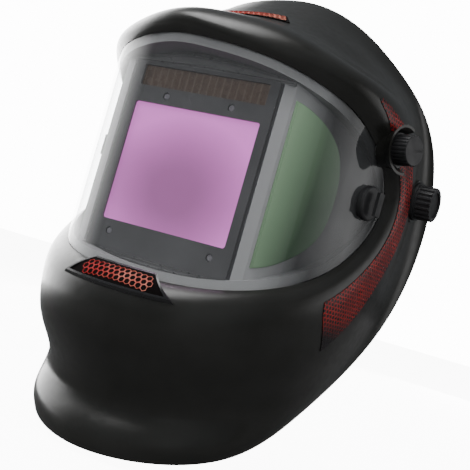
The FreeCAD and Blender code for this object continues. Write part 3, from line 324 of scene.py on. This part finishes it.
def knitted(name, dark, light):
    """Knitted fabric: diagonal ribs of thread with a soft sheen."""
    look = Look(name)
    weave = look.add("ShaderNodeTexWave", wave_type="BANDS", bands_direction="DIAGONAL")
    weave.inputs["Scale"].default_value = 420
    weave.inputs["Distortion"].default_value = 2.0
    look.join(look.place, weave.inputs["Vector"])
    thread = look.maths("ADD", weave.outputs["Fac"], look.noise(900, 3))
    look.colour(look.blend(look.span(thread, 0, 1, 0.4, 1.6), dark, light))
    look.rough(0.8, 0.95)
    look.relief(thread, 0.00012)
    look.set(Sheen_Weight=0.3)
    return look.material


BLACK_NYLON = moulded("black_nylon", (0.008, 0.008, 0.007), (0.012, 0.012, 0.011), 0.28, 0.36,
                      grain=1500, depth=0.000004, coat=0.25)
NET_GROUND = moulded("net_ground", (0.002, 0.002, 0.002), (0.004, 0.003, 0.003), 0.7, 0.85, shine=0.05)
FRAME_PLASTIC = moulded("frame_plastic", (0.030, 0.030, 0.032), (0.045, 0.045, 0.047), 0.4, 0.55)
PANEL_PLASTIC = frame_panel()
WEB_PLASTIC = moulded("web_plastic", (0.08, 0.08, 0.08), (0.11, 0.11, 0.11), 0.25, 0.35, coat=0.4)
CASE_PLASTIC = moulded("case_plastic", (0.034, 0.034, 0.035), (0.050, 0.050, 0.051), 0.4, 0.55)
KNOB_PLASTIC = moulded("knob_plastic", (0.010, 0.010, 0.011), (0.018, 0.018, 0.019), 0.35, 0.5)
BADGE_PLASTIC = moulded("badge_plastic", (0.008, 0.008, 0.009), (0.013, 0.013, 0.014), 0.20, 0.30, coat=0.4)
HEAD_PLASTIC = moulded("head_plastic", (0.018, 0.018, 0.020), (0.030, 0.030, 0.032), 0.45, 0.6)
SENSOR_PLASTIC = moulded("sensor_plastic", (0.09, 0.09, 0.10), (0.14, 0.13, 0.14), 0.08, 0.15, coat=1.0)
CABLE_RUBBER = moulded("cable_rubber", (0.012, 0.012, 0.012), (0.02, 0.02, 0.02), 0.5, 0.65)
BOARD = moulded("board", (0.01, 0.07, 0.025), (0.015, 0.10, 0.035), 0.35, 0.5)
STEEL = metal("steel", (0.50, 0.50, 0.52), 0.22, 0.4, (1, 1, 6))
BRASS = metal("brass", (0.70, 0.52, 0.24), 0.22, 0.4)
CLEAR_LENS = clear("clear_lens", (0.975, 0.98, 0.985), 0.012, 0.018, 1.68)
COVER_PLATE = clear("cover_plate", (0.95, 0.96, 0.96), 0.02, 0.02, 1.45)
FILTER_FILM = filter_film()
CRYSTAL = moulded("crystal", (0.02, 0.03, 0.02), (0.03, 0.045, 0.03), 0.06, 0.12, coat=1.0)
GREEN_GLASS = green_glass()
SOLAR = solar_strip()
PRINTED_NET = printed_net()
NET_PAINT_AND_HIGHLIGHT = net_paint_and_highlight()
SWEAT_CLOTH = knitted("sweat_cloth", (0.020, 0.020, 0.023), (0.055, 0.055, 0.060))

# Nodes by material. Those not listed, most of the headgear, have HEAD_PLASTIC.
PIECES_OF = (
    (BLACK_NYLON, ("shell", "shade_shroud")),
    (CLEAR_LENS, ("front_cover_lens",)),
    (COVER_PLATE, ("inner_cover_plate",)),
    (PANEL_PLASTIC, ("lens_frame",)),
    (FRAME_PLASTIC, ("cartridge_holder", "window_retainers", "cartridge_latch")),
    (CASE_PLASTIC, ("cartridge_front_case", "cartridge_back_case", "battery_door")),
    (KNOB_PLASTIC, ("lens_lock_left", "lens_lock_right", "tension_knob_left", "tension_knob_right",
                    "shade_knob", "sensitivity_knob", "delay_knob", "mode_switch", "check_button",
                    "ratchet_knob")),
    (STEEL, ("frame_screws", "latch_pin", "cover_screws", "pivot_bolts", "potentiometer_nut", "shade_shaft",
             "coin_cells", "shade_potentiometer")),
    (BRASS, ("knob_insert_left", "knob_insert_right")),
    (FILTER_FILM, ("infrared_filter_glass",)),
    (CRYSTAL, ("liquid_crystal_cell",)),
    (GREEN_GLASS, ("side_window_left", "side_window_right")),
    (SOLAR, ("solar_cell",)),
    (SENSOR_PLASTIC, ("arc_sensors",)),
    (BOARD, ("circuit_board",)),
    (CABLE_RUBBER, ("control_cable",)),
    (BADGE_PLASTIC, ("front_vent_bezel",)),
    (NET_GROUND, ("front_vent_mesh", "top_vent_mesh")),
    (PRINTED_NET, ("side_decals",)),
)
LOOKS = {piece: material for material, pieces in PIECES_OF for piece in pieces}


# ---------------------------------------------------------------- smooth shading
WELD_DISTANCE = 0.002 * MM
SHARP_ANGLE = math.radians(32)


def smooth_group():
    """Modifier nodes: weld the mesh and shade smooth except across sharp edges."""
    group = bpy.data.node_groups.new("smooth_by_angle", "GeometryNodeTree")
    group.interface.new_socket("Geometry", in_out="INPUT", socket_type="NodeSocketGeometry")
    group.interface.new_socket("Geometry", in_out="OUTPUT", socket_type="NodeSocketGeometry")
    start = group.nodes.new("NodeGroupInput")
    end = group.nodes.new("NodeGroupOutput")
    drop = group.nodes.new("GeometryNodeRemoveAttribute")
    drop.inputs["Name"].default_value = "custom_normal"
    weld = group.nodes.new("GeometryNodeMergeByDistance")
    weld.inputs["Distance"].default_value = WELD_DISTANCE
    faces = group.nodes.new("GeometryNodeSetShadeSmooth")
    faces.domain = "FACE"
    edges = group.nodes.new("GeometryNodeSetShadeSmooth")
    edges.domain = "EDGE"
    angle = group.nodes.new("GeometryNodeInputMeshEdgeAngle")
    test = group.nodes.new("FunctionNodeCompare")
    test.data_type = "FLOAT"
    test.operation = "LESS_THAN"
    test.inputs["B"].default_value = SHARP_ANGLE
    link = group.links.new
    link(start.outputs[0], drop.inputs[0])
    link(drop.outputs[0], weld.inputs[0])
    link(weld.outputs[0], faces.inputs[0])
    link(faces.outputs[0], edges.inputs[0])
    link(angle.outputs["Unsigned Angle"], test.inputs["A"])
    link(test.outputs[0], edges.inputs["Shade Smooth"])
    link(edges.outputs[0], end.inputs[0])
    return group


SMOOTH = smooth_group()


def smooth(obj):
    """Adds the smoothing nodes to an object."""
    obj.modifiers.new("smooth", "NODES").node_group = SMOOTH


def paint(obj, material):
    """Sets a node's material on the object's own slots, or adds a slot where there is none."""
    for slot in obj.material_slots:
        slot.link = "OBJECT"
        slot.material = material
    if not obj.material_slots:
        obj.data.materials.append(material)


for name, node in NODES.items():
    paint(node, LOOKS.get(name, HEAD_PLASTIC))
    smooth(node)


# ---------------------------------------------------------------- building helpers
def new_object(name, mesh, material):
    """Object in the scene with one material."""
    obj = bpy.data.objects.new(name, mesh)
    bpy.context.scene.collection.objects.link(obj)
    obj.data.materials.append(material)
    return obj


def tree_of(node):
    """Tree of a CAD node's faces, for ray casts."""
    mesh = NODES[node].data
    return BVHTree.FromPolygons([v.co for v in mesh.vertices], [p.vertices for p in mesh.polygons])


# ---------------------------------------------------------------- nets of the two vents
NET_PITCH = 4.2 * MM
NET_HOLE = 1.95 * MM
NET_THICKNESS = 0.7 * MM
NET_REACH = (40 * MM, 20 * MM)
ROW_SHARE = math.sqrt(3) / 2
KEYS_PER_PITCH = 60
BADGE_OUT = Vector((0, -0.75, 0.66)).normalized()
BROW_OUT = Vector((0, -0.5, 0.87)).normalized()


def hexagon_net(name, node, outward):
    """Net of hexagonal holes laid on the front of a CAD node, seen along outward."""
    surface = tree_of(node)
    low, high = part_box(node)
    centre = (low + high) / 2
    right = Vector((1, 0, 0))
    up = outward.cross(right).normalized()
    net = bmesh.new()
    found = {}

    def corner(a, b):
        """Net corner on the surface, made once for the cells that share it. None beside the surface."""
        key = (round(a / NET_PITCH * KEYS_PER_PITCH), round(b / NET_PITCH * KEYS_PER_PITCH))
        if key not in found:
            start = centre + right * a + up * b + outward * 50 * MM
            hit = surface.ray_cast(start, -outward, 100 * MM)[0]
            found[key] = net.verts.new(hit) if hit else None
        return found[key]

    def ring(a, b, radius):
        """Places of the six corners round a cell's centre."""
        turns = [math.radians(60 * k + 30) for k in range(6)]
        return [(a + radius * math.cos(turn), b + radius * math.sin(turn)) for turn in turns]

    columns = int(NET_REACH[0] / NET_PITCH) + 2
    rows = int(NET_REACH[1] / (NET_PITCH * ROW_SHARE)) + 2
    for row in range(-rows, rows + 1):
        for column in range(-columns, columns + 1):
            a = (column + 0.5 * (row % 2)) * NET_PITCH
            b = row * NET_PITCH * ROW_SHARE
            rim = [corner(*spot) for spot in ring(a, b, NET_PITCH / math.sqrt(3))]
            if None in rim:
                continue
            hole = [corner(*spot) for spot in ring(a, b, NET_HOLE)]
            if None in hole:
                continue
            for k in range(6):
                after = (k + 1) % 6
                net.faces.new((rim[k], rim[after], hole[after], hole[k]))
    for vert in [v for v in net.verts if not v.link_faces]:
        net.verts.remove(vert)
    bmesh.ops.recalc_face_normals(net, faces=net.faces)
    mesh = bpy.data.meshes.new(name)
    net.to_mesh(mesh)
    net.free()
    obj = new_object(name, mesh, NET_PAINT_AND_HIGHLIGHT)
    solid = obj.modifiers.new("thick", "SOLIDIFY")
    solid.thickness = NET_THICKNESS
    solid.offset = 0
    bevel = obj.modifiers.new("round", "BEVEL")
    bevel.width = NET_THICKNESS / 4
    bevel.segments = 2
    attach(obj, "shell")


hexagon_net("front_net", "front_vent_mesh", BADGE_OUT)
hexagon_net("top_net", "top_vent_mesh", BROW_OUT)


# ---------------------------------------------------------------- strips in the lens frame
CASE_LOW, CASE_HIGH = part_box("cartridge_front_case")
WEB_COLUMNS, WEB_ROWS = 48, 24
SEAL_STEPS = 8


def strip(name, lines, forward, thickness, material):
    """Sheet through lines of places, thickened to the rear. Forward says whether the lines as given
    already make it face the front."""
    sheet = bmesh.new()
    grid = [[sheet.verts.new(place) for place in line] for line in lines]
    for left, right in zip(grid, grid[1:]):
        for low in range(len(left) - 1):
            corners = (left[low], right[low], right[low + 1], left[low + 1])
            sheet.faces.new(corners if forward else corners[::-1])
    mesh = bpy.data.meshes.new(name)
    sheet.to_mesh(mesh)
    sheet.free()
    obj = new_object(name, mesh, material)
    solid = obj.modifiers.new("thick", "SOLIDIFY")
    solid.thickness = thickness
    solid.offset = -1
    smooth(obj)
    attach(obj, "shell")


def frame_web(name, upward):
    """Ribbed strip that closes the lens frame above (1) or below (-1) the filter cartridge."""
    frame_tree = tree_of("lens_frame")
    case_z = CASE_HIGH.z if upward == 1 else CASE_LOW.z
    face_y = CASE_LOW.y + 1.0 * MM
    half_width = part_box("cartridge_holder")[1].x + 0.8 * MM
    rib_depth = 1.8 * MM
    near_z = case_z - upward * 0.5 * MM
    lines = []
    for column in range(WEB_COLUMNS + 1):
        x = half_width * (2 * column / WEB_COLUMNS - 1)
        start = Vector((x, face_y, case_z + upward * 0.4 * MM))
        hit = frame_tree.ray_cast(start, Vector((0, 0, upward)), 30 * MM)[0] or start
        far_z = hit.z + upward * 0.3 * MM
        line = []
        for row in range(WEB_ROWS + 1):
            share = row / WEB_ROWS
            rib = max(0.0, math.cos(2 * math.pi * (2 * share - 0.4))) ** 4
            line.append((x, face_y - rib * rib_depth, near_z + (far_z - near_z) * share))
        lines.append(line)
    strip(name, lines, upward == 1, 1.2 * MM, WEB_PLASTIC)


def slit_shade_strip(name, side):
    """Bulging dark strip that closes the slit between the cartridge and a side panel of the frame; its dark
    colour is painted shade for the slit.
    """
    inner, outer = CASE_HIGH.x + 0.2 * MM, CASE_HIGH.x + 3.4 * MM
    crown = 0.8 * MM
    front_y = CASE_LOW.y + 5.0 * MM
    lines = []
    for step in range(SEAL_STEPS + 1):
        turn = math.pi * step / SEAL_STEPS
        x = (inner + outer) / 2 - (outer - inner) / 2 * math.cos(turn)
        y = front_y - crown * math.sin(turn)
        lines.append([(side * x, y, z) for z in (CASE_LOW.z, CASE_HIGH.z)])
    # The dark rubber colour here is painted shade in the slit.
    strip(name, lines, side == 1, 1.0 * MM, CABLE_RUBBER)


frame_web("frame_web_top", 1)
frame_web("frame_web_bottom", -1)
slit_shade_strip("frame_slit_shade_left", 1)
slit_shade_strip("frame_slit_shade_right", -1)


# ---------------------------------------------------------------- padded pieces
VOXEL = 3.0 * MM
MOST_SWELL = 3.5 * MM
PRESSURE = 5.0
CLOTH_FRAMES = 20
CHANNEL_DEPTH = 0.9 * MM
CHANNEL_WIDTH = 1.6 * MM
SWEAT_CHANNEL_STEP = math.radians(17)
REAR_CHANNEL_STEP = 22 * MM
BAND_LOW, BAND_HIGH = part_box("headband")
BAND_CENTRE = (BAND_LOW + BAND_HIGH) / 2


def use(obj, modifier):
    """Applies a modifier with only its object selected."""
    for other in bpy.context.selected_objects:
        other.select_set(False)
    obj.select_set(True)
    bpy.context.view_layer.objects.active = obj
    bpy.ops.object.modifier_apply(modifier=modifier.name)


def limit(obj, rest, most):
    """Keeps each vertex within a distance of where it started."""
    for vert, start in zip(obj.data.vertices, rest):
        move = vert.co - start
        if move.length > most:
            vert.co = start + move.normalized() * most


def inflate(obj):
    """Blows a closed skin up a little as cloth."""
    rest = [v.co.copy() for v in obj.data.vertices]
    cloth = obj.modifiers.new("cloth", "CLOTH")
    cloth.settings.quality = 5
    cloth.settings.mass = 0.15
    cloth.settings.tension_stiffness = 12
    cloth.settings.compression_stiffness = 12
    cloth.settings.bending_stiffness = 0.6
    cloth.settings.use_pressure = True
    cloth.settings.uniform_pressure_force = PRESSURE
    cloth.settings.effector_weights.gravity = 0
    cloth.collision_settings.use_self_collision = False
    cloth.point_cache.frame_start = 1
    cloth.point_cache.frame_end = CLOTH_FRAMES
    scene = bpy.context.scene
    for step in range(1, CLOTH_FRAMES + 1):
        scene.frame_set(step)
    use(obj, cloth)
    scene.frame_set(1)
    limit(obj, rest, MOST_SWELL)


def sew(obj, distance):
    """Presses sewn channels into a pad; distance gives how far a place lies from the nearest one."""
    moved = []
    for vert in obj.data.vertices:
        share = math.exp(-(distance(vert.co) / CHANNEL_WIDTH) ** 2)
        moved.append(vert.co - vert.normal * CHANNEL_DEPTH * share)
    for vert, place in zip(obj.data.vertices, moved):
        vert.co = place


def to_sweat_channel(place):
    """Distance to the nearest upright channel round the forehead."""
    across, along = place.x - BAND_CENTRE.x, place.y - BAND_CENTRE.y
    turn = math.atan2(across, -along) / SWEAT_CHANNEL_STEP
    return abs(turn - round(turn)) * SWEAT_CHANNEL_STEP * math.hypot(across, along)


def to_rear_channel(place):
    """Distance to the nearest upright channel across the rear pad."""
    turn = place.x / REAR_CHANNEL_STEP
    return abs(turn - round(turn)) * REAR_CHANNEL_STEP


def padded(node, shrink, distance):
    """Foam pad under a fabric skin, in place of a CAD node: its solid remeshed, drawn in and inflated."""
    mesh = NODES[node].data.copy()
    mesh.name = node + "_cloth"
    mesh.materials.clear()
    obj = new_object(node + "_cloth", mesh, SWEAT_CLOTH)
    weld = obj.modifiers.new("weld", "WELD")
    weld.merge_threshold = 0.01 * MM
    use(obj, weld)
    remesh = obj.modifiers.new("remesh", "REMESH")
    remesh.mode = "VOXEL"
    remesh.voxel_size = VOXEL
    use(obj, remesh)
    for vert, normal in [(v, v.normal.copy()) for v in obj.data.vertices]:
        vert.co -= normal * shrink
    inflate(obj)
    fine = obj.modifiers.new("fine", "SUBSURF")
    fine.levels = fine.render_levels = 1
    use(obj, fine)
    sew(obj, distance)
    obj.data.shade_smooth()
    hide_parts(node)
    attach(obj, "headgear")
    NODES[node].hide_render = True
    NODES[node].hide_viewport = True


padded("sweatband", 1.0 * MM, to_sweat_channel)
padded("rear_pad", 0.9 * MM, to_rear_channel)


# ---------------------------------------------------------------- camera, lights and floor
TARGET = Vector((0, -60 * MM, -30 * MM))
AZIMUTH, ELEVATION, ROLL = math.radians(30), math.radians(-5), math.radians(16)
DISTANCE = 0.7
AIM_RIGHT, AIM_DOWN = math.radians(0.24), math.radians(2.578)
SENSOR_WIDTH = 36.0
FOCAL_LENGTH = 73.15


def photo_camera():
    """Camera turned to the target, then aimed a little to its right and below it."""
    back = Vector((math.sin(AZIMUTH) * math.cos(ELEVATION), -math.cos(AZIMUTH) * math.cos(ELEVATION),
                   math.sin(ELEVATION)))
    level = Vector((math.cos(AZIMUTH), math.sin(AZIMUTH), 0))
    upright = back.cross(level)
    right = level * math.cos(ROLL) + upright * math.sin(ROLL)
    up = upright * math.cos(ROLL) - level * math.sin(ROLL)
    forward = (right * math.tan(AIM_RIGHT) - up * math.tan(AIM_DOWN) - back).normalized()
    right = forward.cross(up).normalized()
    up = right.cross(forward)
    data = bpy.data.cameras.new("camera")
    data.sensor_width = SENSOR_WIDTH
    data.lens = FOCAL_LENGTH
    data.clip_end = 50
    camera = bpy.data.objects.new("camera", data)
    bpy.context.scene.collection.objects.link(camera)
    camera.matrix_world = Matrix((right, up, -forward)).transposed().to_4x4()
    camera.location = TARGET + back * DISTANCE
    bpy.context.scene.camera = camera


CARD_AIM = Vector((0, -50 * MM, -30 * MM))


def card(name, position, width, height, power):
    """Soft box light that isn't seen in reflections."""
    data = bpy.data.lights.new(name, "AREA")
    data.shape = "RECTANGLE"
    data.size, data.size_y = width, height
    data.energy = power
    lamp = bpy.data.objects.new(name, data)
    bpy.context.scene.collection.objects.link(lamp)
    lamp.location = position
    lamp.rotation_mode = "QUATERNION"
    lamp.rotation_quaternion = (CARD_AIM - Vector(position)).to_track_quat("-Z", "Y")
    lamp.visible_glossy = False


def reflector(name, corners, strength, fade):
    """Glowing card seen only in reflections. It fades out towards its edges; fade lists how much
    of its width and height each fade takes."""
    mesh = bpy.data.meshes.new(name)
    mesh.from_pydata(corners, [], [(0, 1, 2, 3)])
    layer = mesh.uv_layers.new(name="spread")
    for loop, spot in zip(layer.data, ((0, 0), (1, 0), (1, 1), (0, 1))):
        loop.uv = spot
    look = Look(name)
    spread = look.add("ShaderNodeSeparateXYZ")
    look.join(look.add("ShaderNodeUVMap", uv_map="spread").outputs[0], spread.inputs[0])
    share = None
    for axis, (start, end) in enumerate(fade):
        low = look.span(spread.outputs[axis], 0, 1, 0, start)
        high = look.span(spread.outputs[axis], 1, 0, 1 - end, 1)
        both = look.maths("MULTIPLY", low, high)
        share = both if share is None else look.maths("MULTIPLY", share, both)
    glow = look.add("ShaderNodeEmission")
    look.join(look.maths("MULTIPLY", look.maths("POWER", share, 1.4), strength), glow.inputs[1])
    look.join(glow.outputs[0], look.out.inputs[0])
    obj = new_object(name, mesh, look.material)
    obj.visible_camera = False
    obj.visible_diffuse = False
    obj.visible_shadow = False


BACKDROP_GLOW = 14.0
FLOOR_GLOW = 10.0
SURROUND_GLOW = 0.16
FLOOR_HALF = 6
FLOOR_GAP = 4 * MM


def studio():
    """White surround for the camera, dim surround for light and reflections."""
    world = bpy.data.worlds.new("studio")
    bpy.context.scene.world = world
    world.use_nodes = True
    tree = world.node_tree
    tree.nodes.clear()
    out = tree.nodes.new("ShaderNodeOutputWorld")
    seen, lit = tree.nodes.new("ShaderNodeBackground"), tree.nodes.new("ShaderNodeBackground")
    seen.inputs[0].default_value = (1, 1, 1, 1)
    seen.inputs[1].default_value = BACKDROP_GLOW
    lit.inputs[0].default_value = (0.9, 0.95, 1, 1)
    lit.inputs[1].default_value = SURROUND_GLOW
    path, mix = tree.nodes.new("ShaderNodeLightPath"), tree.nodes.new("ShaderNodeMixShader")
    tree.links.new(path.outputs["Is Camera Ray"], mix.inputs[0])
    tree.links.new(lit.outputs[0], mix.inputs[1])
    tree.links.new(seen.outputs[0], mix.inputs[2])
    tree.links.new(mix.outputs[0], out.inputs[0])


def floor():
    """Pale glowing floor for the camera, dim for light and reflections."""
    mesh = bpy.data.meshes.new("floor")
    z = CAD_LOW.z - FLOOR_GAP
    corners = [(-FLOOR_HALF, -FLOOR_HALF, z), (FLOOR_HALF, -FLOOR_HALF, z), (FLOOR_HALF, FLOOR_HALF, z),
               (-FLOOR_HALF, FLOOR_HALF, z)]
    mesh.from_pydata(corners, [], [(0, 1, 2, 3)])
    look = Look("floor_paint")
    look.colour(look.blend(look.span(look.noise(3, 3), 0, 1), (0.86, 0.86, 0.86), (0.90, 0.90, 0.90)))
    look.rough(0.8, 0.9, 10)
    glow = look.add("ShaderNodeEmission")
    glow.inputs[0].default_value = (1, 1, 1, 1)
    glow.inputs[1].default_value = FLOOR_GLOW
    total = look.add("ShaderNodeAddShader")
    look.join(look.bsdf.outputs[0], total.inputs[0])
    look.join(glow.outputs[0], total.inputs[1])
    dim = look.add("ShaderNodeBsdfDiffuse")
    dim.inputs[0].default_value = (0.10, 0.10, 0.10, 1)
    path, mix = look.add("ShaderNodeLightPath"), look.add("ShaderNodeMixShader")
    look.join(path.outputs["Is Camera Ray"], mix.inputs[0])
    look.join(dim.outputs[0], mix.inputs[1])
    look.join(total.outputs[0], mix.inputs[2])
    look.join(mix.outputs[0], look.out.inputs[0])
    new_object("floor", mesh, look.material)


photo_camera()
reflector("left_wall", [(-1.0, -0.75, -0.8), (-1.0, 1.6, -0.8), (-1.0, 1.6, 1.1), (-1.0, -0.75, 1.1)],
          14.0, ((0.55, 0.1), (0.25, 0.4)))
reflector("ceiling", [(-1.5, -1.5, 1.4), (0.3, -1.5, 1.4), (0.3, 0.3, 1.4), (-1.5, 0.3, 1.4)],
          6.0, ((0.4, 0.4), (0.3, 0.3)))
reflector("right_wall", [(1.2, 1.6, -0.3), (1.2, -0.2, -0.3), (1.2, -0.2, 0.9), (1.2, 1.6, 0.9)],
          1.2, ((0.4, 0.4), (0.3, 0.3)))
card("left_card", (-1.3, -0.6, 0.5), 0.9, 1.3, 26)
card("top_card", (0.2, -0.7, 1.5), 1.1, 0.9, 26)
card("front_card", (0.9, -1.6, 0.4), 0.9, 0.9, 22)
card("rear_card", (1.2, 0.9, 0.4), 0.5, 1.2, 9)
card("inside_card", (0.1, 1.7, 0.3), 1.0, 1.0, 24)
studio()
floor()
